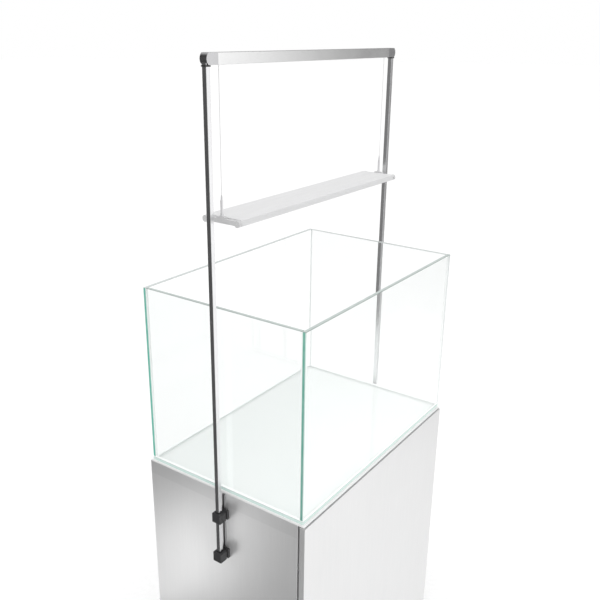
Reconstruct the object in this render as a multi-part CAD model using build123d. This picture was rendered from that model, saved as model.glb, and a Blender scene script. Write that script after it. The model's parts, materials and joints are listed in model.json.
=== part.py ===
"""Rimless glass aquarium on a cabinet, with a light stand and a hanging bar lamp.

Millimetres, +Z up. The origin is on the floor under the middle of the cabinet. X runs along
the tank, -Y is the front with the door, and every sub-part is written to parts/NODE.step.
"""
from build123d import *
from math import cos, radians, sin
import os

# ---- driving dimensions -------------------------------------------------------------------
tank_length = 900
tank_depth = 600
tank_height = 600
glass = 12                    # thickness of every pane
seam = 1                      # silicone between two panes
rim_chamfer = 0.8             # ground edge of the open rim

cabinet_height = 950          # floor to the top of the top board
cabinet_length = 906
cabinet_depth = 620           # door face to back face
panel = 18
top_board = 4
plinth_height = 50
plinth_setback = 20
door_thick = 20
door_gap = 6                  # shadow gap between door and carcass
door_top = 942
door_bottom = 5
back_panel_top = 700
back_rail_height = 80
mat = 2
edge_round = 1.5

stand_y = -6                  # the stand's centreline
post = 14
post_wall = 1.2
post_x = 479                  # post centre from the middle of the tank
running_gap = 0.3             # around a post in its brackets
bar_height = 30
bar_width = 23
bar_wall = 1.5
bar_top = 2236
connector_length = 44
connector_dome = 18           # radius of its domed end
stand_half = 488.5            # middle of the tank to the connector's end
rail_width = 10
rail_thick = 4
rail_low = 706
rail_high = 942
bracket_width = 33            # collar round the post
bracket_foot_width = 37       # foot against the cabinet, over the rail
bracket_outer = 494           # middle of the tank to the bracket's outer face
bracket_upper = (859, 890)    # lower and upper face
bracket_lower = (714, 746)

wire_x = 431
wire_radius = 0.75
lamp_length = 875
lamp_depth = 132
lamp_low = 1791
lamp_high = 1811
lamp_cap = 12
gripper_radius = 3.75

# ---- derived places -----------------------------------------------------------------------
side_x = cabinet_length / 2
inner_x = side_x - panel
front_y = -cabinet_depth / 2
back_y = cabinet_depth / 2
door_back_y = front_y + door_thick
body_front_y = door_back_y + door_gap
panel_top = cabinet_height - top_board
tank_low = cabinet_height + mat
wall_low = tank_low + glass + seam
tank_top = tank_low + tank_height
half_length = tank_length / 2
half_depth = tank_depth / 2
bar_low = bar_top - bar_height
bar_end = stand_half - connector_length
both_sides = (-1, 1)

os.makedirs("parts", exist_ok=True)


def block(x, y, z):
    """A box from three (low, high) pairs, in either order."""
    size = [abs(pair[1] - pair[0]) for pair in (x, y, z)]
    centre = [(pair[0] + pair[1]) / 2 for pair in (x, y, z)]
    return Pos(*centre) * Box(*size)


def rod(start, radius, length, direction="Z"):
    """A cylinder from its start point along +X, +Y or +Z."""
    turn = {"X": Rot(0, 90, 0), "Y": Rot(-90, 0, 0), "Z": Rot(0, 0, 0)}[direction]
    upright = Cylinder(radius, length, align=(Align.CENTER, Align.CENTER, Align.MIN))
    return Pos(*start) * turn * upright


def turned(profile, centre):
    """A solid of revolution about the vertical line through centre, from (radius, z) points."""
    outline = Polyline(*[(radius, 0, z) for radius, z in profile], close=True)
    return Pos(centre[0], centre[1], 0) * revolve(make_face(outline), Axis.Z)


def save(node, solids):
    """Write one sub-part; identical pieces share a node as separate solids."""
    group = solids if isinstance(solids, list) else [solids]
    shape = group[0] if len(group) == 1 else Compound(children=group)
    export_step(shape, f"parts/{node}.step")


def eased(solid, radius=edge_round):
    """A board with all its edges slightly rounded."""
    return fillet(solid.edges(), radius)


# ---- cabinet carcass ----------------------------------------------------------------------
fixing_inset = 34             # cam centre from the panel's end
fixing_rows = (-240, 262)     # cam lines, front and back
dowel_shift = 32              # each dowel beside its cam
cam_radius = 7.5
cam_depth = 13.5
cam_bolt_radius = 3
cam_grip = 3                  # from the cam's centre to the bolt's end
dowel_radius = 4
dowel_length = 30
bore_in_side = 12             # depth of the blind bores in the sides
shelf_levels = ((panel_top - panel, panel_top), (plinth_height, plinth_height + panel))


def cam_fixings():
    """Cam discs, their bolts and the dowels that hold both horizontal panels to the sides."""
    cams, bolts, dowels = [], [], []
    for side in both_sides:
        for low, high in shelf_levels:
            middle = (low + high) / 2
            cam_low = low if high == panel_top else high - cam_depth
            for y in fixing_rows:
                bolt_reach = fixing_inset - cam_grip
                start = inner_x - bolt_reach if side > 0 else -inner_x - bore_in_side
                length = bolt_reach + bore_in_side
                bolts.append(rod((start, y, middle), cam_bolt_radius, length, "X"))
                disc = rod((side * (inner_x - fixing_inset), y, cam_low), cam_radius, cam_depth)
                cams.append(disc - bolts[-1])
                start = inner_x - dowel_length + bore_in_side if side > 0 else -inner_x - bore_in_side
                place = (start, y + dowel_shift, middle)
                dowels.append(rod(place, dowel_radius, dowel_length, "X"))
    return cams, bolts, dowels


cams, cam_bolts, dowels = cam_fixings()
save("cam_locks", cams)
save("cam_bolts", cam_bolts)
save("dowels", dowels)


def bored(board, groups):
    """Cut the bores of every fixing that reaches into a board."""
    for group in groups:
        for piece in group:
            board = board - piece
    return board


pivot_x = side_x - 8
pivot_y = (front_y + door_back_y) / 2
plate_width = 9
plate_thick = 2
plate_back_y = body_front_y + 40
top_plate_z = 943.2
bottom_plate_z = 1.5
plate_screw_rows = (body_front_y + 12, body_front_y + 30)
plate_screw_radius = 1.5
plate_screw_length = 16

rail_screw_radius = 2
rail_screw_length = 25        # from the bracket's web into the cabinet side
web_face = post_x - post / 2 - running_gap


def bracket_screw_heights():
    return [(pair[0] + pair[1]) / 2 for pair in (bracket_upper, bracket_lower)]


def plate_screws():
    """Countersunk screws that hold the pivot plates in the right-hand side's two ends."""
    screws = []
    for y in plate_screw_rows:
        downward = rod((pivot_x, y, top_plate_z + plate_thick - plate_screw_length),
                       plate_screw_radius, plate_screw_length)
        upward = rod((pivot_x, y, bottom_plate_z), plate_screw_radius, plate_screw_length)
        screws += [downward, upward]
    return screws


def rail_screws():
    """Screws through bracket web and rail into the cabinet side, with heads behind the post."""
    screws = []
    head_radius = 3.6
    head_depth = 2.4
    for side in both_sides:
        for z in bracket_screw_heights():
            tip = web_face - rail_screw_length
            start = tip if side > 0 else -web_face
            shank = rod((start, stand_y, z), rail_screw_radius, rail_screw_length, "X")
            head_start = web_face - head_depth if side > 0 else -web_face
            head = rod((head_start, stand_y, z), head_radius, head_depth, "X")
            screws.append(shank + head)
    return screws


pivot_screws = plate_screws()
bracket_screws = rail_screws()
save("pivot_screws", pivot_screws)
save("bracket_screws", bracket_screws)


def cabinet_side(side):
    """One side panel, with slots for the pivot plates in the right-hand one."""
    board = block((side * inner_x, side * side_x), (body_front_y, back_y), (0, panel_top))
    board = chamfer(board.edges().filter_by(Axis.Z), 0.5)
    if side > 0:
        slot_x = (pivot_x - plate_width / 2 - 0.2, pivot_x + plate_width / 2 + 0.2)
        slot_y = (body_front_y - 1, plate_back_y + 0.2)
        board = board - block(slot_x, slot_y, (top_plate_z, panel_top + 1))
        board = board - block(slot_x, slot_y, (-1, bottom_plate_z + plate_thick))
    return bored(board, (cam_bolts, dowels, pivot_screws, bracket_screws))


save("cabinet_side_right", cabinet_side(1))

inner_width = (-inner_x, inner_x)
top_panel = block(inner_width, (body_front_y, back_y), shelf_levels[0])
bottom_panel = block(inner_width, (body_front_y, back_y), shelf_levels[1])
save("cabinet_top_panel", bored(top_panel, (cams, cam_bolts, dowels)))
save("cabinet_bottom_panel", bored(bottom_panel, (cams, cam_bolts, dowels)))

board_front_y = front_y + 4
board_slab = block((-side_x + 1, side_x - 1), (board_front_y, back_y), (panel_top, cabinet_height))
save("cabinet_top_board", chamfer(board_slab.edges().filter_by(Axis.Z), 1))

inside = (plinth_height + panel, panel_top - panel)
back_inner_y = back_y - panel
save("cabinet_centre_panel", block((-panel / 2, panel / 2), (body_front_y, back_inner_y), inside))
save("cabinet_back_panel", block(inner_width, (back_inner_y, back_y), (inside[0], back_panel_top)))
back_rail_z = (inside[1] - back_rail_height, inside[1])
save("cabinet_back_rail", block(inner_width, (back_inner_y, back_y), back_rail_z))
plinth_y = body_front_y + plinth_setback
save("cabinet_plinth_front", block(inner_width, (plinth_y, plinth_y + panel), (0, plinth_height)))
save("cabinet_plinth_back", block(inner_width, (back_inner_y, back_y), (0, plinth_height)))

# ---- door, pivots and push latch ----------------------------------------------------------
pin_radius = 2
pin_fit = 0.05                # running clearance of a pin in its bush
pin_reach = 11                # pin inside the door
bush_radius = 4
bush_length = 12
washer_radius = 5
washer_thick = 1.2
striker_radius = 8
striker_thick = 1
latch_z = 850
latch_width = 18              # square housing
latch_length = 60
latch_setback = 3             # behind the carcass's front edge
latch_x = -inner_x + latch_width / 2
latch_screw_radius = 1.5
latch_screw_length = 28
latch_screw_grip = 10         # in the cabinet side
latch_screw_inset = 8
latch_screw_drop = 6.5        # below the plunger
plunger_radius = 3.5
plunger_gap = 0.3
bumper_radius = 4
bumper_heights = (150, 790)


def pivot_plate(z):
    """A flat bar with a round nose about the door's pivot."""
    bar = block((pivot_x - plate_width / 2, pivot_x + plate_width / 2), (pivot_y, plate_back_y),
                (z, z + plate_thick))
    plate = bar + rod((pivot_x, pivot_y, z), plate_width / 2, plate_thick)
    plate = plate - rod((pivot_x, pivot_y, z), pin_radius, plate_thick)
    return bored(plate, (pivot_screws,))


save("pivot_plates", [pivot_plate(top_plate_z), pivot_plate(bottom_plate_z)])
top_pin_low = door_top - pin_reach
top_pin = rod((pivot_x, pivot_y, top_pin_low), pin_radius, top_plate_z + plate_thick - top_pin_low)
bottom_pin_high = door_bottom + pin_reach
bottom_pin = rod((pivot_x, pivot_y, bottom_plate_z), pin_radius, bottom_pin_high - bottom_plate_z)
save("pivot_pins", [top_pin, bottom_pin])
washer_z = bottom_plate_z + plate_thick
washer = rod((pivot_x, pivot_y, washer_z), washer_radius, washer_thick)
save("pivot_washer", washer - rod((pivot_x, pivot_y, washer_z), pin_radius, washer_thick))

bush_lows = (door_top - bush_length, door_bottom)
bush_blanks = [rod((pivot_x, pivot_y, low), bush_radius, bush_length) for low in bush_lows]
bush_bores = [rod((pivot_x, pivot_y, low), pin_radius + pin_fit, bush_length) for low in bush_lows]
save("door_bushes", [blank - bore for blank, bore in zip(bush_blanks, bush_bores)])

striker = rod((latch_x, door_back_y - striker_thick, latch_z), striker_radius, striker_thick, "Y")
door = eased(block((-side_x, side_x), (front_y, door_back_y), (door_bottom, door_top)))
save("door_panel", bored(door, (bush_blanks, [striker])))
save("door_striker", striker)

bumper_x = -side_x + panel / 2
bumper_length = door_gap - plunger_gap
bumper_y = body_front_y - bumper_length
bumper_blanks = [rod((bumper_x, bumper_y, z), bumper_radius, bumper_length, "Y") for z in bumper_heights]
save("door_bumpers", [fillet(blank.edges().group_by(Axis.Y)[0], 1) for blank in bumper_blanks])

plunger_y = door_back_y + plunger_gap
plunger_length = 45
housing_y = (body_front_y + latch_setback, body_front_y + latch_setback + latch_length)
plunger_travel = 3
plunger = rod((latch_x, plunger_y, latch_z), plunger_radius, plunger_length, "Y")
plunger_bore = rod((latch_x, housing_y[0], latch_z), plunger_radius + pin_fit,
                   plunger_length + plunger_travel, "Y")
half_latch = latch_width / 2
housing = block((-inner_x, -inner_x + latch_width), housing_y, (latch_z - half_latch, latch_z + half_latch))
latch_screws = []
for y in (housing_y[0] + latch_screw_inset, housing_y[1] - latch_screw_inset):
    start = (-inner_x - latch_screw_grip, y, latch_z - latch_screw_drop)
    latch_screws.append(rod(start, latch_screw_radius, latch_screw_length, "X"))
housing = chamfer(housing.edges().filter_by(Axis.Y), 1) - plunger_bore
save("latch_housing", bored(housing, (latch_screws,)))
save("latch_plunger", fillet(plunger.edges().group_by(Axis.Y)[0], 1))
save("latch_screws", latch_screws)
save("cabinet_side_left", bored(cabinet_side(-1), (latch_screws,)))

# ---- tank ---------------------------------------------------------------------------------
save("tank_mat", block((-half_length, half_length), (-half_depth, half_depth), (cabinet_height, tank_low)))
tank_floor = block((-half_length, half_length), (-half_depth, half_depth), (tank_low, tank_low + glass))
save("tank_bottom_pane", chamfer(tank_floor.edges().filter_by(Axis.Z), rim_chamfer))


def pane(x, y):
    """An upright pane with its top edges ground."""
    sheet = block(x, y, (wall_low, tank_top))
    return chamfer(sheet.edges().group_by(Axis.Z)[-1], rim_chamfer)


long_inner = half_depth - glass
end_inner = half_length - glass
save("tank_front_pane", pane((-half_length, half_length), (-half_depth, -long_inner)))
save("tank_back_pane", pane((-half_length, half_length), (long_inner, half_depth)))
end_reach = long_inner - seam
save("tank_left_pane", pane((-half_length, -end_inner), (-end_reach, end_reach)))
save("tank_right_pane", pane((end_inner, half_length), (-end_reach, end_reach)))

seam_floor = (tank_low + glass, wall_low)
foot_seam = block((-half_length, half_length), (-half_depth, half_depth), seam_floor)
foot_seam = foot_seam - block((-end_inner, end_inner), (-long_inner, long_inner), seam_floor)
seams = [foot_seam]
for side_of_x in both_sides:
    for side_of_y in both_sides:
        seam_x = (side_of_x * end_inner, side_of_x * half_length)
        seam_y = (side_of_y * end_reach, side_of_y * long_inner)
        seams.append(block(seam_x, seam_y, (wall_low, tank_top - rim_chamfer)))
save("tank_seams", seams)

# ---- rails and brackets of the light stand ------------------------------------------------
rail_x = (side_x, side_x + rail_thick)
rail_y = (stand_y - rail_width / 2, stand_y + rail_width / 2)
bracket_chamfer = 2
foot_thick = 9                # of the bracket's foot, out from the cabinet
neck_length = 4               # groove between foot and collar
neck_width = 25
neck_step = 2                 # groove above and below
post_recess = 1.2             # step round the post in a collar's top
socket_floor = 3              # closed bottom of the lower bracket
clamp_screw_radius = 2.5
clamp_tip_gap = 0.3
clamp_recess = 1              # screw's outer end below the collar's face
key_depth = 2
clamp_key = 1.4               # hexagon's circumradius


def mirrored_pair(right_hand):
    """The right-hand piece and its mirror image on the left."""
    return [right_hand, mirror(right_hand, Plane.YZ)]


def around(centre, half_width):
    """The (low, high) pair about a centre."""
    return (centre - half_width, centre + half_width)


rail = block(rail_x, rail_y, (rail_low, rail_high))
rail = chamfer(rail.edges().filter_by(Axis.Z).sort_by(Axis.X)[-2:], 1)
save("side_rails", [bored(piece, (bracket_screws,)) for piece in mirrored_pair(rail)])


def clamp_screw(pair):
    """A set screw in the collar's rear wall, just off the post."""
    middle = (pair[0] + pair[1]) / 2
    tip_y = stand_y + post / 2 + clamp_tip_gap
    end_y = stand_y + bracket_width / 2 - clamp_recess
    screw = rod((post_x, tip_y, middle), clamp_screw_radius, end_y - tip_y, "Y")
    key_plane = Plane((post_x, end_y, middle), x_dir=(1, 0, 0), z_dir=(0, 1, 0))
    return screw - extrude(key_plane * RegularPolygon(clamp_key, 6), -key_depth)


def bracket(pair, socket_low):
    """A collar around the post and a wider foot over the rail, joined by a narrow neck."""
    low, high = pair
    foot_x = (side_x, side_x + foot_thick)
    neck_x = (foot_x[1], foot_x[1] + neck_length)
    collar_x = (neck_x[1], bracket_outer)
    foot = block(foot_x, around(stand_y, bracket_foot_width / 2), pair)
    foot = chamfer(foot.edges().group_by(Axis.X)[-1], bracket_chamfer / 2)
    neck = block(neck_x, around(stand_y, neck_width / 2), (low + neck_step, high - neck_step))
    collar_block = block(collar_x, around(stand_y, bracket_width / 2), pair)
    outer_edges = collar_block.edges().filter_by(Axis.Z).sort_by(Axis.X)[-2:]
    top_edges = collar_block.edges().group_by(Axis.Z)[-1]
    body = foot + neck + chamfer(outer_edges + top_edges, bracket_chamfer)
    half_channel = post / 2 + running_gap
    channel = (around(post_x, half_channel), around(stand_y, half_channel), (socket_low, high + 1))
    half_recess = half_channel + post_recess
    recess = (around(post_x, half_recess), around(stand_y, half_recess), (high - post_recess, high + 1))
    body = body - block(*channel) - block(*recess) - block(rail_x, rail_y, (low - 1, high + 1))
    bore_start = (post_x, stand_y + post / 2, (low + high) / 2)
    return bored(body, ([rod(bore_start, clamp_screw_radius, bracket_width / 2, "Y")], bracket_screws))


upper_bracket = bracket(bracket_upper, bracket_upper[0] - 1)
lower_bracket = bracket(bracket_lower, bracket_lower[0] + socket_floor)
save("upper_brackets", mirrored_pair(upper_bracket))
save("lower_brackets", mirrored_pair(lower_bracket))
save("clamp_screws", mirrored_pair(clamp_screw(bracket_upper)) + mirrored_pair(clamp_screw(bracket_lower)))

# ---- light stand frame --------------------------------------------------------------------
half_post = post / 2
socket_depth = 20             # post inside the corner connector
collar = 18.5                 # square ring round each post's top
collar_height = 4
plug_plate = 3
plug_depth = 12
tongue_length = 30
post_low = bracket_lower[0] + socket_floor + running_gap
post_high = bar_low + socket_depth
square_y = around(stand_y, half_post)


def stand_post(side):
    """A square aluminium tube, open inside, standing on its plug."""
    x = side * post_x
    height = (post_low + plug_plate, post_high)
    tube = fillet(block(around(x, half_post), square_y, height).edges().filter_by(Axis.Z), 0.8)
    half_inner = half_post - post_wall
    return tube - block(around(x, half_inner), around(stand_y, half_inner), height)


save("post_left", stand_post(-1))
save("post_right", stand_post(1))

plug_half = half_post - post_wall
plug_top = post_low + plug_plate
plug = block(around(post_x, half_post), square_y, (post_low, plug_top))
plug = plug + block(around(post_x, plug_half), around(stand_y, plug_half), (plug_top, plug_top + plug_depth))
save("post_plugs", mirrored_pair(plug))

half_collar = collar / 2
collar_z = (bar_low - collar_height, bar_low)
ring = block(around(post_x, half_collar), around(stand_y, half_collar), collar_z)
ring = chamfer(ring.edges().filter_by(Axis.Z), 1.5) - block(around(post_x, half_post), square_y, collar_z)
save("post_collars", mirrored_pair(ring))

half_bar = bar_width / 2
bar_y = around(stand_y, half_bar)
bar_middle = bar_low + bar_height / 2
tongue_y = (bar_y[0] + bar_wall, bar_y[1] - bar_wall)
tongue_z = (bar_low + bar_wall, bar_top - bar_wall)
connector_screw_radius = 2
connector_key = 1.1           # hexagon's circumradius
screw_inset = 12              # screw axes from the tube ends
anchor_room = 4               # radius of the hole in the tongue for the wire anchor
anchor_room_height = 8
bar_screw_length = 6
post_screw = (post_x, bar_low + screw_inset, half_bar - half_post)
bar_screw = (bar_end - screw_inset, bar_middle, bar_screw_length)


def connector_screw(place):
    """A set screw from behind with a hexagon socket, from its (x, z, length)."""
    x, z, length = place
    screw = rod((x, bar_y[1] - length, z), connector_screw_radius, length, "Y")
    key_plane = Plane((x, bar_y[1], z), x_dir=(1, 0, 0), z_dir=(0, 1, 0))
    return screw - extrude(key_plane * RegularPolygon(connector_key, 6), -key_depth)


def screw_blank(place):
    """The bore of a connector screw, as a solid rod."""
    x, z, _ = place
    return rod((x, stand_y + half_post, z), connector_screw_radius, half_bar - half_post, "Y")


right_screws = [connector_screw(place) for place in (post_screw, bar_screw)]
screw_blanks = [screw_blank(place) for place in (post_screw, bar_screw)]
save("connector_screws", [piece for screw in right_screws for piece in mirrored_pair(screw)])

dome_x = stand_half - connector_dome
dome = rod((dome_x, bar_y[0], bar_middle), connector_dome, bar_width, "Y")
dome = dome & block((dome_x, stand_half), bar_y, (bar_low, bar_top))
head = block((bar_end, dome_x), bar_y, (bar_low, bar_top)) + dome
tongue = block((bar_end - tongue_length, bar_end), tongue_y, tongue_z)
socket = block(around(post_x, half_post), square_y, (bar_low, post_high))
anchor_space = rod((wire_x, stand_y, bar_low), anchor_room, anchor_room_height)
connector = bored(head + tongue - socket - anchor_space, (screw_blanks, right_screws))
save("corner_connectors", mirrored_pair(connector))

anchor_bore_radius = 3.2
tube_length = (-bar_end, bar_end)
crossbar = fillet(block(tube_length, bar_y, (bar_low, bar_top)).edges().filter_by(Axis.X), 1)
crossbar = crossbar - block(tube_length, tongue_y, tongue_z)
anchor_bores = [rod((side * wire_x, stand_y, bar_low), anchor_bore_radius, bar_wall) for side in both_sides]
bar_bores = mirrored_pair(screw_blanks[1])
crossbar = bored(crossbar, (anchor_bores, bar_bores))
save("crossbar", crossbar)

# ---- wires, anchors and grippers ----------------------------------------------------------
anchor_flange_radius = 4.5
anchor_flange = 1             # below the bar
anchor_top = 4.5              # above the bar's lower face
ball_radius = 1.8
ball_space = 0.2              # between a wire's ball and its seat
ball_z = bar_low + 1.2        # the ball hangs inside the bar's lower wall
ball_overlap = 0.6            # wire's end inside its ball
mouth_radius = 1.35
wire_low = 1826
gripper_foot = (lamp_high + 3, lamp_high + 8)
gripper_body_top = 1858
sleeve_low = 1848
sleeve_top = 1872
sleeve_radius = 2.6
sleeve_bore = 1.1
cavity_low = 1842
grip_ball_radius = 0.85
grip_ball_gap = 0.05
grip_ball_z = cavity_low + 1.1

anchors, wire_balls, grippers, sleeves, grip_balls = [], [], [], [], []
for side in both_sides:
    centre = (side * wire_x, stand_y)
    flange_low = bar_low - anchor_flange
    outer = turned([(0, flange_low), (anchor_flange_radius - 0.6, flange_low),
                    (anchor_flange_radius, flange_low + 0.6), (anchor_flange_radius, bar_low),
                    (anchor_bore_radius, bar_low), (anchor_bore_radius, bar_low + anchor_top),
                    (0, bar_low + anchor_top)], centre)
    seat = Pos(*centre, ball_z) * Sphere(ball_radius + ball_space)
    way_in = rod((*centre, ball_z), ball_radius + ball_space, anchor_top)
    mouth = rod((*centre, flange_low), mouth_radius, ball_z - flange_low)
    anchors.append(outer - seat - way_in - mouth)

    ball = Pos(*centre, ball_z) * Sphere(ball_radius)
    wire_top = ball_z - ball_radius + ball_overlap
    strand = rod((*centre, wire_low), wire_radius, wire_top - wire_low)
    wire_balls.append(ball - strand)
    save("wire_left" if side < 0 else "wire_right", strand)

    foot_low, foot_high = gripper_foot
    shell = turned([(sleeve_bore, foot_low), (5, foot_low), (5, foot_high - 1), (4.2, foot_high),
                    (gripper_radius, foot_high), (gripper_radius, gripper_body_top - 0.8),
                    (gripper_radius - 0.8, gripper_body_top), (sleeve_radius + pin_fit, gripper_body_top),
                    (sleeve_radius + pin_fit, cavity_low), (sleeve_bore, cavity_low)], centre)
    grippers.append(shell)
    sleeve = turned([(sleeve_bore, sleeve_low), (sleeve_radius, sleeve_low),
                     (sleeve_radius, gripper_body_top + 5), (sleeve_bore + 0.4, sleeve_top),
                     (sleeve_bore, sleeve_top)], centre)
    sleeves.append(sleeve)
    ball_circle = wire_radius + grip_ball_radius + grip_ball_gap
    for angle in (0, 120, 240):
        x = centre[0] + ball_circle * cos(radians(angle))
        y = centre[1] + ball_circle * sin(radians(angle))
        grip_balls.append(Pos(x, y, grip_ball_z) * Sphere(grip_ball_radius))

save("wire_anchors", anchors)
save("wire_balls", wire_balls)
save("grippers", grippers)
save("gripper_balls", grip_balls)
save("release_sleeve_left", sleeves[0])
save("release_sleeve_right", sleeves[1])

# ---- lamp ---------------------------------------------------------------------------------
half_lamp = lamp_length / 2
body_end = half_lamp - lamp_cap
body_half_depth = 63
body_low = lamp_low + 1.5
top_plate = 4.5
skirt_wall = 3
lens_thick = 3
ledge_depth = 1.5             # groove for the lens in each skirt
ledge_height = 1
lens_gap = 0.1
lobe_radius = 9.5
lobe_y = lamp_depth / 2 - lobe_radius
waist_low = lamp_low + 4.5
waist_high = lamp_high - 2.5
boss_half = 15
boss_foot = 4                 # boss's lower face above the waist's
cap_screw_radius = 1.5
cap_screw_length = 22
screw_port_radius = 3.5
cap_screw_spots = [(stand_y + y, lamp_low + 10.5) for y in (-lobe_y + 2, lobe_y - 2)]
lamp_y = (stand_y - body_half_depth, stand_y + body_half_depth)

profile = block((-body_end, body_end), lamp_y, (body_low, lamp_high))
profile = fillet(profile.edges().filter_by(Axis.X).group_by(Axis.Z)[-1], 3)
profile = fillet(profile.edges().filter_by(Axis.X).group_by(Axis.Z)[0], 1)
cavity_y = (lamp_y[0] + skirt_wall, lamp_y[1] - skirt_wall)
lamp_cavity = block((-body_end, body_end), cavity_y, (body_low - 1, lamp_high - top_plate))
lens_ledge = block((-body_end, body_end), (cavity_y[0] - ledge_depth, cavity_y[1] + ledge_depth),
                   (body_low + ledge_height, body_low + ledge_height + lens_thick))
inlet_x = 360
inlet_z = lamp_high - 9
inlet_radius = 4
inlet_barrel = 8              # behind the wall
inlet_socket_radius = 2.4
inlet_bore = rod((inlet_x, lamp_y[1] - skirt_wall, inlet_z), inlet_radius, skirt_wall, "Y")
cap_screws = []
for side in both_sides:
    for y, z in cap_screw_spots:
        start = half_lamp - cap_screw_length if side > 0 else -half_lamp
        cap_screws.append(rod((start, y, z), cap_screw_radius, cap_screw_length, "X"))
screw_ports = [rod((-body_end, y, z), screw_port_radius, 2 * body_end, "X") for y, z in cap_screw_spots]
body_profile = profile - lamp_cavity - lens_ledge
for port in screw_ports:
    wall_side = 1 if port.center().Y > stand_y else -1
    port_y = (port.center().Y, stand_y + wall_side * (body_half_depth - skirt_wall))
    web = block((-body_end, body_end), port_y, (port.center().Z - 1, port.center().Z + 1))
    body_profile = body_profile + port + web
pocket_depth = inlet_barrel + 1
inlet_pocket = rod((inlet_x, lamp_y[1] - skirt_wall - pocket_depth, inlet_z), inlet_radius + 0.5,
                   pocket_depth, "Y")
save("lamp_body", bored(body_profile, ([inlet_bore, inlet_pocket], cap_screws)))


def end_cap(side):
    """The lamp's end casting: round lobes front and back, a thin waist and a boss on top."""
    inner = side * body_end
    outer = side * half_lamp
    waist = block((inner, outer), (stand_y - lobe_y, stand_y + lobe_y), (waist_low, waist_high))
    shape = waist
    for end in both_sides:
        start = (min(inner, outer), stand_y + end * lobe_y, lamp_low + lobe_radius)
        shape = shape + rod(start, lobe_radius, lamp_cap, "X")
    wire_side = side * wire_x
    boss = block((inner, outer), around(stand_y, boss_half), (waist_low + boss_foot, gripper_foot[0]))
    shape = shape + fillet(boss.edges().filter_by(Axis.X).group_by(Axis.Z)[-1], 2.5)
    bore_low = waist_low + boss_foot + 1
    wire_bore = rod((wire_side, stand_y, bore_low), sleeve_bore, gripper_foot[0] - bore_low)
    return bored(shape, (cap_screws, [wire_bore]))


save("lamp_end_caps", [end_cap(side) for side in both_sides])
save("lamp_cap_screws", cap_screws)

board_top = lamp_high - top_plate
board_thick = 1.6
board_half_depth = 48
board_half_length = body_end - 12
led_inset = 20                # first LED's centre from the board's end
save("led_board", block((-board_half_length, board_half_length),
                        (stand_y - board_half_depth, stand_y + board_half_depth),
                        (board_top - board_thick, board_top)))
led_size = 6
led_height = 1
led_columns = 16
led_rows = (-27, 0, 27)
half_led = led_size / 2
led_pitch = 2 * (board_half_length - led_inset) / (led_columns - 1)
led_top = board_top - board_thick
led_z = (led_top - led_height, led_top)
leds = []
for column in range(led_columns):
    x = -board_half_length + led_inset + column * led_pitch
    for row in led_rows:
        leds.append(block(around(x, half_led), around(stand_y + row, half_led), led_z))
save("leds", leds)
lens_y = around(stand_y, body_half_depth - skirt_wall + ledge_depth - lens_gap)
lens_z = (body_low + ledge_height + lens_gap, body_low + ledge_height + lens_thick)
save("lamp_lens", block((-body_end, body_end), lens_y, lens_z))
inlet = rod((inlet_x, lamp_y[1] - skirt_wall, inlet_z), inlet_radius, skirt_wall, "Y")
barrel_start = (inlet_x, lamp_y[1] - skirt_wall - inlet_barrel, inlet_z)
inlet = inlet + rod(barrel_start, inlet_radius - 0.5, inlet_barrel, "Y")
socket_start = (inlet_x, lamp_y[1] - inlet_barrel, inlet_z)
save("power_inlet", inlet - rod(socket_start, inlet_socket_radius, inlet_barrel, "Y"))
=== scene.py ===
"""Looks for a rimless aquarium on a cabinet, with a light stand and a hanging bar lamp.

Metres, in the frame's own axes: X along the tank, -Y the front with the door, +Z up.
"""
import json
from math import cos, pi, radians, sin

import bmesh
import bpy
from mathutils import Matrix, Quaternion, Vector


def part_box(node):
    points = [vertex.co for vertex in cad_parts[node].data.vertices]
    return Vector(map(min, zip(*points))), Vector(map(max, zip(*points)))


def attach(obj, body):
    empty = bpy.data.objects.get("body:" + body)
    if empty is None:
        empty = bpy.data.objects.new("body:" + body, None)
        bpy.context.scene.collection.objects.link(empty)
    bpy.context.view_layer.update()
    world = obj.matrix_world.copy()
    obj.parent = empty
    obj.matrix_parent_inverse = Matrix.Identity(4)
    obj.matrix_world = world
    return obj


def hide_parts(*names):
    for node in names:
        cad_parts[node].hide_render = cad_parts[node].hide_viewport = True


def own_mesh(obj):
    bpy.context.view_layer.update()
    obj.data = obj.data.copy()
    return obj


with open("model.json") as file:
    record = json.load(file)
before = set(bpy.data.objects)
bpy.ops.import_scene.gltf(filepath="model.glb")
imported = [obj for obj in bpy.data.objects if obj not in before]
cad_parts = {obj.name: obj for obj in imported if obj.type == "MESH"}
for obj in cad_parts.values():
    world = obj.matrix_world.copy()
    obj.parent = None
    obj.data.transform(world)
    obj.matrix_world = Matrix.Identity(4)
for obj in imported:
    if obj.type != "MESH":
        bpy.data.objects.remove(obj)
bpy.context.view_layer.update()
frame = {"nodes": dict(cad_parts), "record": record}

MM = 0.001


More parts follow.
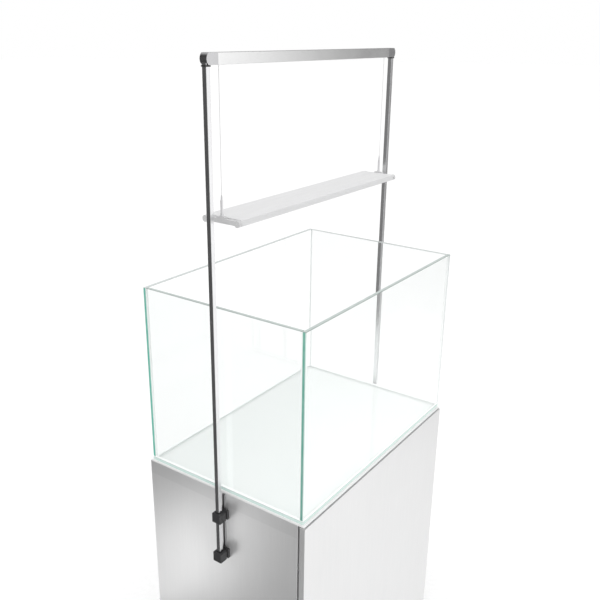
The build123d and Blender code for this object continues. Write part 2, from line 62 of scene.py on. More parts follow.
# ---- node trees ---------------------------------------------------------------------------
class Net:
    """The node tree of a material or world, emptied, with short ways to fill it."""

    def __init__(self, owner):
        owner.use_nodes = True
        self.tree = owner.node_tree
        self.tree.nodes.clear()

    def add(self, kind, inputs=None, **settings):
        """A new node; inputs maps socket names or numbers to values or to other sockets."""
        node = self.tree.nodes.new(kind)
        for name, value in settings.items():
            setattr(node, name, value)
        for key, value in (inputs or {}).items():
            self.feed(node.inputs[key], value)
        return node

    def feed(self, socket, value):
        if isinstance(value, bpy.types.NodeSocket):
            self.tree.links.new(value, socket)
        else:
            socket.default_value = value

    def math(self, operation, first, second=0.0):
        return self.add("ShaderNodeMath", {0: first, 1: second}, operation=operation).outputs[0]

    def place(self, stretch=(1, 1, 1)):
        """Object coordinates in metres, squeezed along each axis by the stretch."""
        coordinates = self.add("ShaderNodeTexCoord").outputs["Object"]
        return self.add("ShaderNodeMapping", {"Vector": coordinates, "Scale": stretch}).outputs[0]

    def noise(self, size, stretch=(1, 1, 1), detail=3.0):
        """Noise from 0 to 1 whose features are about the given size in metres."""
        inputs = {"Vector": self.place(stretch), "Scale": 1 / size, "Detail": detail, "Roughness": 0.55}
        return self.add("ShaderNodeTexNoise", inputs).outputs["Fac"]

    def cells(self, size, stretch=(1, 1, 1), output="Distance"):
        """Round cells about the given size in metres: distance to a cell's middle, or its colour."""
        inputs = {"Vector": self.place(stretch), "Scale": 1 / size}
        return self.add("ShaderNodeTexVoronoi", inputs).outputs[output]

    def ramp(self, factor, stops):
        """A colour ramp from (position, grey level or colour) stops."""
        node = self.add("ShaderNodeValToRGB", {"Fac": factor})
        elements = node.color_ramp.elements
        while len(elements) < len(stops):
            elements.new(1.0)
        for element, (position, value) in zip(elements, stops):
            element.position = position
            element.color = rgba(value)
        return node.outputs["Color"]

    def range(self, value, low, high, to_low=0.0, to_high=1.0):
        """The value moved from one range to another, and kept inside it."""
        inputs = {"Value": value, "From Min": low, "From Max": high, "To Min": to_low, "To Max": to_high}
        return self.add("ShaderNodeMapRange", inputs).outputs["Result"]

    def mix(self, factor, first, second, blend="MIX"):
        node = self.add("ShaderNodeMix", data_type="RGBA", blend_type=blend)
        self.feed(node.inputs[0], factor)
        self.feed(node.inputs[6], rgba(first))
        self.feed(node.inputs[7], rgba(second))
        return node.outputs[2]

    def bump(self, height, depth):
        """A normal from a height pattern; depth is its full height in metres."""
        inputs = {"Height": height, "Distance": depth, "Strength": 1.0}
        return self.add("ShaderNodeBump", inputs).outputs["Normal"]


def rgba(value):
    """A grey level or colour as four numbers; sockets pass through."""
    if isinstance(value, bpy.types.NodeSocket):
        return value
    if isinstance(value, (int, float)):
        return (value, value, value, 1.0)
    return (*value, 1.0)


def finish(name, build, **sockets):
    """A Principled material: build(net) returns the sockets that vary over the surface."""
    material = bpy.data.materials.new(name)
    net = Net(material)
    shader = net.add("ShaderNodeBsdfPrincipled", {**sockets, **build(net)})
    net.add("ShaderNodeOutputMaterial", {"Surface": shader.outputs[0]})
    return material


# ---- camera, floor and light --------------------------------------------------------------
def make_camera():
    """A standing viewer's place at the left front corner, looking down on the tank."""
    data = bpy.data.cameras.new("camera")
    data.lens = 44.6
    data.sensor_width = 36
    camera = bpy.data.objects.new("camera", data)
    heading, pitch, roll = radians(34.7), radians(-19.97), radians(0.77)
    forward = Vector((cos(heading) * cos(pitch), sin(heading) * cos(pitch), sin(pitch)))
    camera.location = (-1.9275, -1.3025, 2.2908)
    camera.rotation_mode = "QUATERNION"
    camera.rotation_quaternion = forward.to_track_quat("-Z", "Y") @ Quaternion((0, 0, 1), roll)
    bpy.context.scene.collection.objects.link(camera)
    bpy.context.scene.camera = camera
    bpy.context.scene.view_settings.view_transform = "Standard"


def mirror_ray(net):
    """1 for a ray straight from a shiny surface that reflected it, else 0."""
    path = net.add("ShaderNodeLightPath")
    return net.math("SUBTRACT", path.outputs["Is Glossy Ray"], path.outputs["Is Transmission Ray"])


def make_floor():
    """A pale paper floor out to the horizon, left out of reflections."""
    mesh = bpy.data.meshes.new("floor")
    shape = bmesh.new()
    bmesh.ops.create_circle(shape, cap_ends=True, segments=128, radius=60)
    shape.to_mesh(mesh)
    shape.free()
    floor = bpy.data.objects.new("floor", mesh)
    bpy.context.scene.collection.objects.link(floor)
    material = bpy.data.materials.new("pale_floor")
    net = Net(material)
    speck = net.noise(0.02, detail=6)
    paper = net.add("ShaderNodeBsdfPrincipled", {
        "Base Color": net.ramp(speck, [(0.3, 0.9), (0.7, 0.94)]), "Roughness": 0.9})
    clear = net.add("ShaderNodeBsdfTransparent")
    shaders = {0: mirror_ray(net), 1: paper.outputs[0], 2: clear.outputs[0]}
    surface = net.add("ShaderNodeMixShader", shaders)
    net.add("ShaderNodeOutputMaterial", {"Surface": surface.outputs[0]})
    mesh.materials.append(material)


def make_world():
    """A studio round the object: a soft dome for its light, and walls for its reflections.

    The walls are dim to the left and behind and bright in front, and so are a strip overhead
    and the ground in front. The dome is brighter overhead than near the ground.
    """
    brightest = 1.5
    ground_level, ceiling_level = 1.15, 0.95
    walls = [(-180, 0.5), (-150, 0.55), (-80, 0.7), (-60, 1.3), (-46, 1.45), (-40, 1.2), (-36, 0.8),
             (-32, 0.4), (-28, 0.22), (-15, 0.2), (30, 0.5), (60, 0.6), (95, 0.4), (115, 0.06),
             (138, 0.06), (150, 0.22), (165, 0.35), (180, 0.5)]
    world = bpy.data.worlds.new("studio")
    bpy.context.scene.world = world
    # Without light sampling, every ray reads its own kind of brightness below.
    world.cycles.sampling_method = "NONE"
    net = Net(world)
    direction = net.add("ShaderNodeTexCoord").outputs["Generated"]
    parts = net.add("ShaderNodeSeparateXYZ", {0: direction})
    height = parts.outputs["Z"]
    share = net.range(net.math("ARCTAN2", parts.outputs["Y"], parts.outputs["X"]), -pi, pi)
    stops = [(0.5 + degrees / 360, level / brightest) for degrees, level in walls]
    around = net.math("MULTIPLY", net.ramp(share, stops), brightest)
    ahead = net.range(parts.outputs["Y"], 0.0, -0.3)
    ground = net.math("MULTIPLY", ahead, net.range(height, -0.28, -0.5))
    overhead = net.range(height, 0.6, 0.95)
    low_part = net.range(ground, 0, 1, around, ground_level)
    reflected = net.range(overhead, 0, 1, low_part, ceiling_level)
    dome = net.range(height, 0.0, 1.0, 0.5, 1.5)
    diffuse_ray = net.add("ShaderNodeLightPath").outputs["Is Diffuse Ray"]
    unmirrored = net.range(diffuse_ray, 0, 1, 1.0, dome)
    shade = net.range(mirror_ray(net), 0, 1, unmirrored, reflected)
    background = net.add("ShaderNodeBackground", {"Color": shade, "Strength": 1.0})
    net.add("ShaderNodeOutputWorld", {"Surface": background.outputs[0]})


def area_light(name, place, target, size, power):
    """A square lamp aimed at a target, with its power in watts; rays from the camera miss it."""
    data = bpy.data.lights.new(name, "AREA")
    data.shape = "SQUARE"
    data.size = size
    data.energy = power
    light = bpy.data.objects.new(name, data)
    light.location = place
    light.rotation_mode = "QUATERNION"
    light.rotation_quaternion = (Vector(target) - Vector(place)).to_track_quat("-Z", "Y")
    light.visible_camera = light.visible_glossy = light.visible_transmission = False
    bpy.context.scene.collection.objects.link(light)
    return light


def make_lights():
    """A broad weak key overhead, and a small low light that glows on the cabinet's left side."""
    key_place, key_size, key_power = (0.8, -1.6, 5.2), 3.0, 25
    cabinet_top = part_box("cabinet_top_board")[1][2]
    area_light("key_light", key_place, (0, 0, cabinet_top), key_size, key_power)

    glow_size, glow_power = 0.45, 0.75
    side_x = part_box("cabinet_side_left")[0][0]
    shine = Vector((side_x, 0.1, 0.57))
    glow_place = shine + Vector((-0.5, 0.47, -0.4))
    glow = area_light("side_glow", glow_place, shine, glow_size, glow_power)
    glow.visible_glossy = True
    receivers = bpy.data.collections.new("side_glow_receivers")
    receivers.objects.link(frame["nodes"]["cabinet_side_left"])
    glow.light_linking.receiver_collection = receivers


# ---- metals -------------------------------------------------------------------------------
def lengthwise(axis, along=0.03):
    """Stretch factors that draw a pattern out along one axis."""
    return tuple(along if letter == axis else 1.0 for letter in "XYZ")


def anodised(name, colour, axis, roughness):
    """Extruded and anodised aluminium: drawing lines along its length and a satin sheen."""
    def build(net):
        lines = net.noise(0.35 * MM, lengthwise(axis), detail=2)
        cloud = net.noise(0.06, lengthwise(axis, along=0.5), detail=4)
        low = [channel * 0.86 for channel in colour]
        tint = net.ramp(lines, [(0.3, low), (0.7, colour)])
        dulled = net.mix(net.range(cloud, 0.35, 0.7, 0, 0.25), tint, low)
        sheen = net.math("ADD", net.range(lines, 0.2, 0.8, -0.05, 0.05),
                         net.range(cloud, 0.3, 0.7, roughness - 0.03, roughness + 0.05))
        return {"Base Color": dulled, "Roughness": sheen, "Normal": net.bump(lines, 0.006 * MM)}
    return finish(name, build, Metallic=1.0)


def plated(name, colour, roughness, size=0.8 * MM, metallic=1.0):
    """Plated or machined metal with fine tool marks and small stains."""
    def build(net):
        marks = net.noise(size / 3, detail=5)
        stain = net.noise(size * 5, detail=4)
        low = [channel * 0.92 for channel in colour]
        tint = net.ramp(stain, [(0.35, low), (0.65, colour)])
        rough = net.range(marks, 0.3, 0.7, roughness - 0.06, roughness + 0.1)
        return {"Base Color": tint, "Roughness": rough, "Normal": net.bump(marks, 0.01 * MM)}
    return finish(name, build, Metallic=metallic)


def lamp_lacquer(name, colour, axis):
    """Pale silver powder coat on the lamp: fine sparkle over a soft, slightly blue grey."""
    def build(net):
        flake = net.cells(0.25 * MM, output="Color")
        speck = net.add("ShaderNodeSeparateColor", {0: flake}).outputs[0]
        streak = net.noise(3 * MM, lengthwise(axis), detail=3)
        low = [channel * 0.93 for channel in colour]
        tint = net.mix(net.range(streak, 0.3, 0.7), low, colour)
        sparkle = net.mix(net.range(speck, 0.86, 1.0, 0, 0.3), tint, 1.0)
        orange_peel = net.noise(0.5 * MM, detail=2)
        return {"Base Color": sparkle, "Roughness": net.range(speck, 0, 1, 0.46, 0.58),
                "Normal": net.bump(orange_peel, 0.01 * MM)}
    return finish(name, build)


# ---- boards -------------------------------------------------------------------------------
def silver_board(name, shade_band_node=None):
    """Brushed silver foil on the cabinet's outer boards: fine upright lines under a satin film.

    A band along the top of the named node is a painted shade darker.
    """
    shade_band_height = 45 * MM

    def build(net):
        lines = net.noise(0.5 * MM, lengthwise("Z", along=0.006), detail=3)
        streaks = net.noise(9 * MM, lengthwise("Z", along=0.03), detail=3)
        cloud = net.noise(0.2, detail=3)
        tint = net.ramp(lines, [(0.3, 0.77), (0.7, 0.84)])
        streaked = net.mix(net.range(streaks, 0.35, 0.7, 0, 0.5), tint, (0.78, 0.782, 0.785))
        if shade_band_node:
            # painted shade: a darker band along the top of the side board
            height = net.add("ShaderNodeSeparateXYZ", {0: net.place()}).outputs["Z"]
            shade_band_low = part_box(shade_band_node)[1][2] - shade_band_height
            painted_shade_band = net.range(height, shade_band_low - 2 * MM, shade_band_low + 2 * MM, 0, 0.08)
            streaked = net.mix(painted_shade_band, streaked, (0.2, 0.21, 0.215))
        sheen = net.math("ADD", net.range(lines, 0.3, 0.7, -0.04, 0.04),
                         net.range(cloud, 0.3, 0.7, 0.36, 0.42))
        return {"Base Color": streaked, "Roughness": sheen, "Normal": net.bump(lines, 0.004 * MM)}
    return finish(name, build, Metallic=0.7)


def white_lacquer():
    """Satin lacquer on a board: faint orange peel and a little handling grease."""
    def build(net):
        cloud = net.noise(0.18, detail=4)
        peel = net.noise(1.2 * MM, detail=2)
        return {"Base Color": net.ramp(cloud, [(0.3, 0.827), (0.7, 0.84)]),
                "Roughness": net.range(cloud, 0.3, 0.7, 0.37, 0.48),
                "Normal": net.bump(peel, 0.01 * MM)}
    return finish("white_board", build)


def melamine():
    """Melamine-faced chipboard inside the cabinet: a pressed pore pattern."""
    def build(net):
        pores = net.cells(0.9 * MM, (1, 1, 0.35))
        cloud = net.noise(0.12, detail=4)
        return {"Base Color": net.ramp(cloud, [(0.3, 0.72), (0.7, 0.78)]),
                "Roughness": net.range(pores, 0.1, 0.6, 0.42, 0.55),
                "Normal": net.bump(pores, 0.03 * MM)}
    return finish("inner_board", build)


def beech():
    """Beech with its grain and short dark rays along X."""
    def build(net):
        rings = net.noise(1.5 * MM, (0.06, 1, 1), detail=5)
        rays = net.noise(0.5 * MM, (0.15, 1, 1), detail=2)
        tint = net.ramp(rings, [(0.3, (0.52, 0.34, 0.2)), (0.7, (0.7, 0.5, 0.32))])
        dark = net.mix(net.range(rays, 0.62, 0.72, 0, 0.5), tint, (0.33, 0.19, 0.1))
        return {"Base Color": dark, "Normal": net.bump(rays, 0.03 * MM)}
    return finish("beech", build, Roughness=0.6)


# ---- plastics, rubber and foam ------------------------------------------------------------
def moulded(name, colour, roughness):
    """Moulded plastic or cast black finish with a fine spark-eroded texture."""
    def build(net):
        texture = net.noise(0.35 * MM, detail=3)
        cloud = net.noise(8 * MM, detail=3)
        low = [channel * 0.92 for channel in colour]
        return {"Base Color": net.ramp(cloud, [(0.3, low), (0.7, colour)]),
                "Roughness": net.range(texture, 0.3, 0.7, roughness - 0.06, roughness + 0.08),
                "Normal": net.bump(texture, 0.012 * MM)}
    return finish(name, build)


def clear_rubber():
    """Clear polyurethane of the door's bumpers, a little cloudy."""
    def build(net):
        cloud = net.noise(3 * MM, detail=3)
        return {"Base Color": net.ramp(cloud, [(0.3, 0.78), (0.7, 0.9)])}
    return finish("clear_rubber", build, Roughness=0.25, **{"Transmission Weight": 0.6, "IOR": 1.45})


def foam():
    """Closed-cell foam: round cells whose pits are a painted shade darker."""
    def build(net):
        cell = net.cells(1.2 * MM)
        # painted shade: darker towards each cell's middle, in the pits
        tint = net.ramp(cell, [(0.05, 0.85), (0.35, 0.95)])
        return {"Base Color": tint, "Normal": net.bump(cell, 0.15 * MM)}
    return finish("foam_mat", build, Roughness=0.85)


# ---- glass, silicone and lamp optics ------------------------------------------------------
PAINTED_JOINT_GLOW = 0.12             # painted glow: emission standing in for light that the panes carry into their glued joints


def see_through(net, shader, shade):
    """The shader, but with lamp light passing straight on, tinted by the shade."""
    path = net.add("ShaderNodeLightPath")
    straight = net.math("MAXIMUM", path.outputs["Is Shadow Ray"], path.outputs["Is Diffuse Ray"])
    clear = net.add("ShaderNodeBsdfTransparent", {"Color": rgba(shade)})
    inputs = {0: straight, 1: shader.outputs[0], 2: clear.outputs[0]}
    return net.add("ShaderNodeMixShader", inputs)


def pane_glass():
    """Clear float glass with the faintest green cloud."""
    material = bpy.data.materials.new("glass_clear")
    net = Net(material)
    cloud = net.noise(0.2, detail=2)
    tint = net.ramp(cloud, [(0.3, (0.98, 0.992, 0.989)), (0.7, (0.988, 0.996, 0.993))])
    shader = net.add("ShaderNodeBsdfPrincipled", {
        "Base Color": tint, "Roughness": 0.0, "IOR": 1.42, "Transmission Weight": 1.0})
    surface = see_through(net, shader, (0.985, 0.993, 0.99))
    net.add("ShaderNodeOutputMaterial", {"Surface": surface.outputs[0]})
    return material


def ground_edge(name, foot_colour, rim_colour=None, middle_y=None, glow=0.0):
    """The ground and polished edge of float glass, where the green shows.

    The colour may change from the tank's foot to its rim, and it pales away from the middle of
    the pane, at middle_y: painted light and shade of the edge. Fine grinding marks run through it.
    The glow is painted light, an emission standing in for light that the pane carries to an edge
    which no other light reaches.
    """
    def build(net):
        parts = net.add("ShaderNodeSeparateXYZ", {0: net.place()}).outputs
        low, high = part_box("tank_front_pane")
        rise = net.range(parts["Z"], low[2], high[2])
        tint = net.mix(rise, foot_colour, rim_colour or foot_colour)
        if middle_y is not None:
            off_middle = net.math("ABSOLUTE", net.math("SUBTRACT", parts["Y"], middle_y))
            paling = net.range(off_middle, 2.5 * MM, 4.5 * MM, 0, 0.7)
            tint = net.mix(paling, tint, (0.8, 0.88, 0.86))
        marks = net.noise(0.4 * MM, (1, 1, 0.2), detail=3)
        cloud = net.noise(25 * MM, detail=3)
        lively = net.mix(net.range(cloud, 0.3, 0.7, 0, 0.2), tint, net.mix(0.5, tint, 1.0))
        return {"Base Color": lively, "Roughness": net.range(marks, 0.3, 0.7, 0.14, 0.3),
                "Normal": net.bump(marks, 0.01 * MM)}
    # painted glow: the emission lights the edge where no lamp light reaches
    return finish(name, build, **{"Emission Color": rgba(1.0), "Emission Strength": glow})


def silicone():
    """Clear silicone gone milky over the joint, smoothed with a wet finger, with a faint painted glow.
    """
    def build(net):
        cloud = net.noise(4 * MM, detail=3)
        return {"Base Color": net.ramp(cloud, [(0.3, (0.95, 0.965, 0.96)), (0.7, (0.97, 0.98, 0.975))]),
                "Normal": net.bump(cloud, 0.02 * MM)}
    # painted glow: the silicone emits a little light in the joints
    return finish("silicone", build, Roughness=0.25,
                  **{"Emission Color": rgba(1.0), "Emission Strength": PAINTED_JOINT_GLOW})


def lens_acrylic():
    """The lamp's clear cover, with a trace of haze."""
    def build(net):
        cloud = net.noise(0.05, detail=3)
        return {"Base Color": net.ramp(cloud, [(0.3, 0.93), (0.7, 0.97)])}
    return finish("lamp_lens", build, Roughness=0.08, IOR=1.49, **{"Transmission Weight": 1.0})


def circuit_board():
    """White solder mask with faint copper areas below it."""
    def build(net):
        copper = net.cells(14 * MM, (1, 1, 1), output="Color")
        area = net.add("ShaderNodeSeparateColor", {0: copper}).outputs[0]
        tint = net.ramp(area, [(0.35, 0.82), (0.45, 0.86)])
        return {"Base Color": tint, "Normal": net.bump(area, 0.03 * MM)}
    return finish("circuit_board", build, Roughness=0.35)


def phosphor():
    """Yellow phosphor gel over the LED chips."""
    def build(net):
        grit = net.noise(0.3 * MM, detail=3)
        return {"Base Color": net.ramp(grit, [(0.3, (0.82, 0.72, 0.28)), (0.7, (0.93, 0.84, 0.4))])}
    return finish("led_face", build, Roughness=0.3)


def led_ceramic():
    """White ceramic of the LED packages."""
    def build(net):
        grit = net.noise(0.4 * MM, detail=3)
        return {"Base Color": net.ramp(grit, [(0.3, 0.78), (0.7, 0.86)])}
    return finish("led_package", build, Roughness=0.45)


# ---- pieces -------------------------------------------------------------------------------
def make_piece(name, shape, body, materials, smooth=False):
    """A mesh object from a bmesh, riding on a body, with its finish's slot."""
    bmesh.ops.recalc_face_normals(shape, faces=shape.faces)
    for face in shape.faces:
        face.smooth = smooth
    mesh = bpy.data.meshes.new(name)
    shape.to_mesh(mesh)
    shape.free()
    for material in materials:
        mesh.materials.append(material)
    piece = bpy.data.objects.new(name, mesh)
    bpy.context.scene.collection.objects.link(piece)
    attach(piece, body)
    return piece


def add_slab(shape, low, high, arris=0.0, segments=2):
    """A box between two corners, with its edges rounded by the arris."""
    middle = [(a + b) / 2 for a, b in zip(low, high)]
    size = [b - a for a, b in zip(low, high)]
    matrix = Matrix.LocRotScale(Vector(middle), None, Vector(size))
    verts = bmesh.ops.create_cube(shape, size=1, matrix=matrix)["verts"]
    if arris:
        edges = list(dict.fromkeys(edge for vert in verts for edge in vert.link_edges))
        bmesh.ops.bevel(shape, geom=edges, offset=arris, segments=segments, profile=0.5,
                        affect="EDGES", clamp_overlap=True)


ARRIS = 1.2 * MM              # ground off every edge of a pane
BROAD, RIM, NEAR_END, FAR_END, RIM_ARRIS, FOOT = range(6)


def make_pane(node, *materials):
    """A pane of float glass: clear broad faces, and ground edges that show the green.

    The materials are in the order of the names above. Reflected rays pass the pane by, so that
    the posts and boards behind it don't mirror it.
    """
    low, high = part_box(node)
    size = [b - a for a, b in zip(low, high)]
    thin = size.index(min(size))
    shape = bmesh.new()
    add_slab(shape, low, high, ARRIS, segments=1)
    shape.normal_update()
    for face in shape.faces:
        normal = face.normal
        if 0.3 < normal.z < 0.95:
            face.material_index = RIM_ARRIS
        elif abs(normal[thin]) > 0.9:
            face.material_index = BROAD
        elif normal.z > 0.5:
            face.material_index = RIM
        elif normal.z < -0.5:
            face.material_index = FOOT
        else:
            face.material_index = NEAR_END if normal.x + normal.y < -0.5 else FAR_END
    name = node.replace("tank_", "glass_")
    piece = make_piece(name, shape, "cabinet", materials)
    piece.visible_glossy = False
    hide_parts(node)


def make_panes():
    """The tank's five panes; the green shows at the left ends and along the foot. The near panes and
    ends get darker copies of the edge colours, painted shade, and the far ones paler copies, painted
    light, all on one and the same ground glass.
    """
    clear = pane_glass()
    # painted shade: the near ends are painted deep green
    greens = {"tank_front_pane": ((0.12, 0.34, 0.28), (0.12, 0.42, 0.32)),
              "tank_back_pane": ((0.1, 0.48, 0.37), (0.1, 0.44, 0.34))}
    ends = {}
    for node, (foot_green, rim_green) in greens.items():
        low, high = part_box(node)
        name = node.replace("tank_", "glass_edge_")
        ends[node] = ground_edge(name, foot_green, rim_green, (low[1] + high[1]) / 2)
    floor_edge = ground_edge("glass_edge_floor", (0.64, 0.8, 0.75))
    pale = ground_edge("glass_edge_pale", (0.92, 0.94, 0.935))
    foot = ground_edge("glass_foot", (0.94, 0.96, 0.955), glow=PAINTED_JOINT_GLOW)
    # painted light and shade: near panes take the darker rim and arris, far panes the paler copies
    rim = ground_edge("glass_rim", (0.5, 0.56, 0.54))
    far_rim = ground_edge("glass_rim_pale", (0.6, 0.64, 0.63))
    arris = ground_edge("glass_arris", (0.22, 0.3, 0.27), (0.22, 0.27, 0.255))
    soft_arris = ground_edge("glass_arris_pale", (0.5, 0.55, 0.54), (0.5, 0.53, 0.52))
    make_pane("tank_front_pane", clear, rim, ends["tank_front_pane"], pale, arris, foot)
    make_pane("tank_back_pane", clear, far_rim, ends["tank_back_pane"], pale, soft_arris, foot)
    make_pane("tank_left_pane", clear, rim, pale, pale, arris, foot)
    make_pane("tank_right_pane", clear, far_rim, pale, pale, soft_arris, foot)
    make_pane("tank_bottom_pane", clear, pale, floor_edge, pale, soft_arris, foot)


def make_mat(material):
    """The foam mat, squeezed by the tank: its edge bulges out a little all round."""
    low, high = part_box("tank_mat")
    skin = 0.05 * MM
    bulge = 0.6 * MM
    shape = bmesh.new()
    inner_low = (low[0] + bulge, low[1] + bulge, low[2] + skin)
    inner_high = (high[0] - bulge, high[1] - bulge, high[2] - skin)
    add_slab(shape, inner_low, inner_high)
    upright = [edge for edge in shape.edges if abs(edge.verts[0].co.z - edge.verts[1].co.z) > MM]
    bmesh.ops.bevel(shape, geom=upright, offset=3 * MM, segments=6, profile=0.5, affect="EDGES")
    sides = [edge for edge in shape.edges if abs(edge.verts[0].co.z - edge.verts[1].co.z) > MM]
    bmesh.ops.subdivide_edges(shape, edges=sides, cuts=5)
    middle_z = (low[2] + high[2]) / 2
    half = (high[2] - low[2]) / 2
    for vert in shape.verts:
        rise = min(abs(vert.co.z - middle_z) / half, 1)
        out = bulge * (1 - rise ** 2) ** 0.5
        vert.co.x += out if vert.co.x > 0 else -out
        vert.co.y += out if vert.co.y > 0 else -out
    mat = make_piece("foam_mat", shape, "cabinet", [material])
    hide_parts("tank_mat")


def add_bead(shape, corner, along, length, first, second, radius):
    """A concave fillet of silicone in a corner, drawn along one direction.

    first and second are the directions of the two faces that it clings to.
    """
    steps = 5
    corner, along = Vector(corner), Vector(along)
    first, second = Vector(first), Vector(second)
    outline = [corner]
    for step in range(steps + 1):
        angle = pi / 2 * step / steps
        outline.append(corner + first * radius * (1 - sin(angle)) + second * radius * (1 - cos(angle)))
    near = [shape.verts.new(point) for point in outline]
    far = [shape.verts.new(point + along * length) for point in outline]
    count = len(outline)
    for index in range(count):
        after = (index + 1) % count
        shape.faces.new((near[index], near[after], far[after], far[index]))
    shape.faces.new(near)
    shape.faces.new(far)


def make_seams(material):
    """Clear silicone: a thin layer in every joint, and a smoothed bead along each inside corner."""
    bottom_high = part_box("tank_bottom_pane")[1]
    front_low, front_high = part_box("tank_front_pane")
    left_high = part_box("tank_left_pane")[1]
    inset = 0.05 * MM
    bead = 1.2 * MM
    half_x, inner_x = front_high[0], -left_high[0]
    half_y, inner_y = -front_low[1], -front_high[1]
    end_y = left_high[1]
    floor_z = bottom_high[2]
    wall_z, top_z = front_low[2], front_high[2]
    shape = bmesh.new()

    def layer(low, high):
        add_slab(shape, [value + inset for value in low], [value - inset for value in high], 0.3 * MM)

    for side in (-1, 1):
        y_pair = sorted((side * inner_y, side * half_y))
        layer((-half_x, y_pair[0], floor_z), (half_x, y_pair[1], wall_z))
        x_pair = sorted((side * inner_x, side * half_x))
        layer((x_pair[0], -inner_y, floor_z), (x_pair[1], inner_y, wall_z))
        wall_face = side * (inner_x - inset)
        add_bead(shape, (wall_face, -inner_y, floor_z + inset), (0, 1, 0), 2 * inner_y,
                 (-side, 0, 0), (0, 0, 1), bead)
        long_face = side * (inner_y - inset)
        add_bead(shape, (-inner_x, long_face, floor_z + inset), (1, 0, 0), 2 * inner_x,
                 (0, -side, 0), (0, 0, 1), bead)
        for other in (-1, 1):
            y_pair = sorted((other * end_y, other * inner_y))
            layer((x_pair[0], y_pair[0], wall_z), (x_pair[1], y_pair[1], top_z - ARRIS))
            corner = (wall_face, other * (inner_y - inset), floor_z)
            add_bead(shape, corner, (0, 0, 1), top_z - floor_z - ARRIS,
                     (-side, 0, 0), (0, -other, 0), bead)
    seams = make_piece("silicone_seams", shape, "cabinet", [material])
    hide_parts("tank_seams")


def make_wire(node, material):
    """A stranded steel wire: six strands laid round each other, as long as the CAD wire."""
    low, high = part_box(node)
    strands = 6
    radius = (high[0] - low[0]) / 2
    groove = radius * 0.8
    lay_length = 10 * MM
    step_height = 1 * MM
    centre_x, centre_y = (low[0] + high[0]) / 2, (low[1] + high[1]) / 2
    steps = round((high[2] - low[2]) / step_height)
    shape = bmesh.new()
    rings = []
    for step in range(steps + 1):
        z = low[2] + (high[2] - low[2]) * step / steps
        twist = 2 * pi * (z - low[2]) / lay_length
        ring = []
        for point in range(2 * strands):
            angle = twist + pi * point / strands
            reach = groove if point % 2 else radius
            place = (centre_x + reach * cos(angle), centre_y + reach * sin(angle), z)
            ring.append(shape.verts.new(place))
        rings.append(ring)
    for below, above in zip(rings, rings[1:]):
        for index in range(len(below)):
            after = (index + 1) % len(below)
            shape.faces.new((below[index], below[after], above[after], above[index]))
    shape.faces.new(rings[0])
    shape.faces.new(rings[-1])
    wire = make_piece("strand_" + node, shape, "lamp_hanger", [material], smooth=True)
    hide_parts(node)
    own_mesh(wire)


def make_leds(ceramic, glow):
    """LED packages under the circuit board: a ceramic body with a domed phosphor window."""
    columns, rows = 16, 3
    low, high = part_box("leds")
    top, depth = high[2], high[2] - low[2]
    body_depth = 0.6 * depth
    half = 2.8 * MM
    window = 2.2 * MM
    inset = 3 * MM
    shape = bmesh.new()
    for column in range(columns):
        x = low[0] + inset + (high[0] - low[0] - 2 * inset) * column / (columns - 1)
        for row in range(rows):
            y = low[1] + inset + (high[1] - low[1] - 2 * inset) * row / (rows - 1)
            add_slab(shape, (x - half, y - half, top - body_depth), (x + half, y + half, top), 0.3 * MM)
            place = Matrix.Translation((x, y, top - body_depth))
            squat = Matrix.Diagonal((window, window, depth - body_depth, 1))
            dome = bmesh.ops.create_uvsphere(shape, u_segments=16, v_segments=8, radius=1,
                                             matrix=place @ squat)
            for vert in dome["verts"]:
                for face in vert.link_faces:
                    face.material_index = 1
    leds = make_piece("led_packages", shape, "lamp", [ceramic, glow])
    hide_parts("leds")


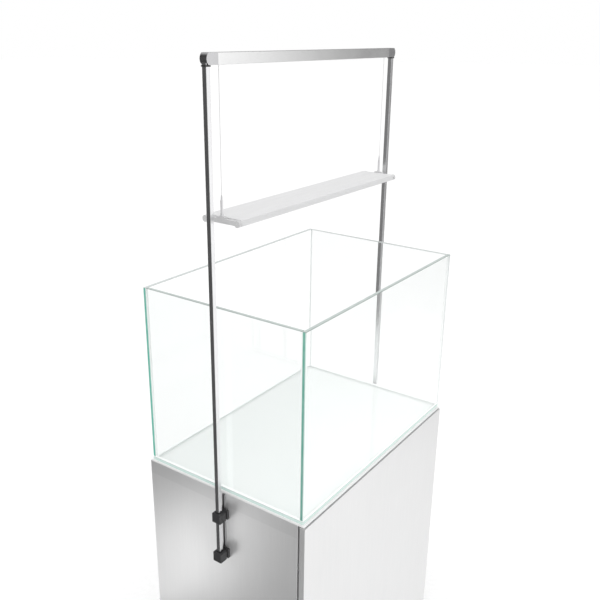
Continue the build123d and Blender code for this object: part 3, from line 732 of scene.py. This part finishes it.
# ---- finishes of the carried-over nodes ---------------------------------------------------
def make_finishes():
    """One material for each of the record's material slots."""
    silver = (0.85, 0.85, 0.86)
    return {
        "silver_board": silver_board("silver_board", "cabinet_side_left"),
        "door_board": silver_board("door_board"),
        "white_board": white_lacquer(),
        "inner_board": melamine(),
        "beech": beech(),
        "zinc": plated("zinc", (0.62, 0.63, 0.65), 0.42),
        "steel": plated("steel", (0.66, 0.65, 0.64), 0.3),
        "black_steel": plated("black_steel", (0.06, 0.06, 0.065), 0.4),
        "brass": plated("brass", (0.78, 0.6, 0.3), 0.28),
        "bright_metal": plated("bright_metal", (0.86, 0.86, 0.87), 0.35, metallic=0.55),
        "wire_steel": plated("wire_steel", (0.9, 0.9, 0.9), 0.35, 0.3 * MM, metallic=0.5),
        "post_aluminium": anodised("post_aluminium", silver, "Z", 0.22),
        "bar_aluminium": anodised("bar_aluminium", (0.9, 0.9, 0.9), "X", 0.2),
        "rail_aluminium": anodised("rail_aluminium", (0.4, 0.4, 0.41), "Z", 0.4),
        "connector_aluminium": anodised("connector_aluminium", (0.62, 0.62, 0.63), "X", 0.22),
        "lamp_silver": lamp_lacquer("lamp_silver", (0.7, 0.7, 0.705), "X"),
        "lamp_cap_silver": lamp_lacquer("lamp_cap_silver", (0.6, 0.6, 0.605), "Y"),
        "black_block": moulded("black_block", (0.035, 0.035, 0.037), 0.42),
        "black_plastic": moulded("black_plastic", (0.03, 0.03, 0.03), 0.5),
        "socket_plastic": moulded("socket_plastic", (0.025, 0.025, 0.025), 0.45),
        "latch_plastic": moulded("latch_plastic", (0.6, 0.6, 0.59), 0.45),
        "nylon": moulded("nylon", (0.8, 0.79, 0.74), 0.4),
        "clear_rubber": clear_rubber(),
        "foam_mat": foam(),
        "silicone": silicone(),
        "lamp_lens": lens_acrylic(),
        "circuit_board": circuit_board(),
        "led_face": phosphor(),
    }


def dress_nodes(finishes):
    """Give every CAD node that stays the finish of its material slot."""
    for part in frame["record"]["subparts"]:
        look = finishes.get(part["material_slot"])
        if look is None:
            continue
        materials = frame["nodes"][part["node"]].data.materials
        materials.clear()
        materials.append(look)


make_camera()
make_floor()
make_world()
make_lights()
finishes = make_finishes()
dress_nodes(finishes)
make_panes()
make_mat(finishes["foam_mat"])
make_seams(finishes["silicone"])
make_wire("wire_left", finishes["wire_steel"])
make_wire("wire_right", finishes["wire_steel"])
make_leds(led_ceramic(), finishes["led_face"])
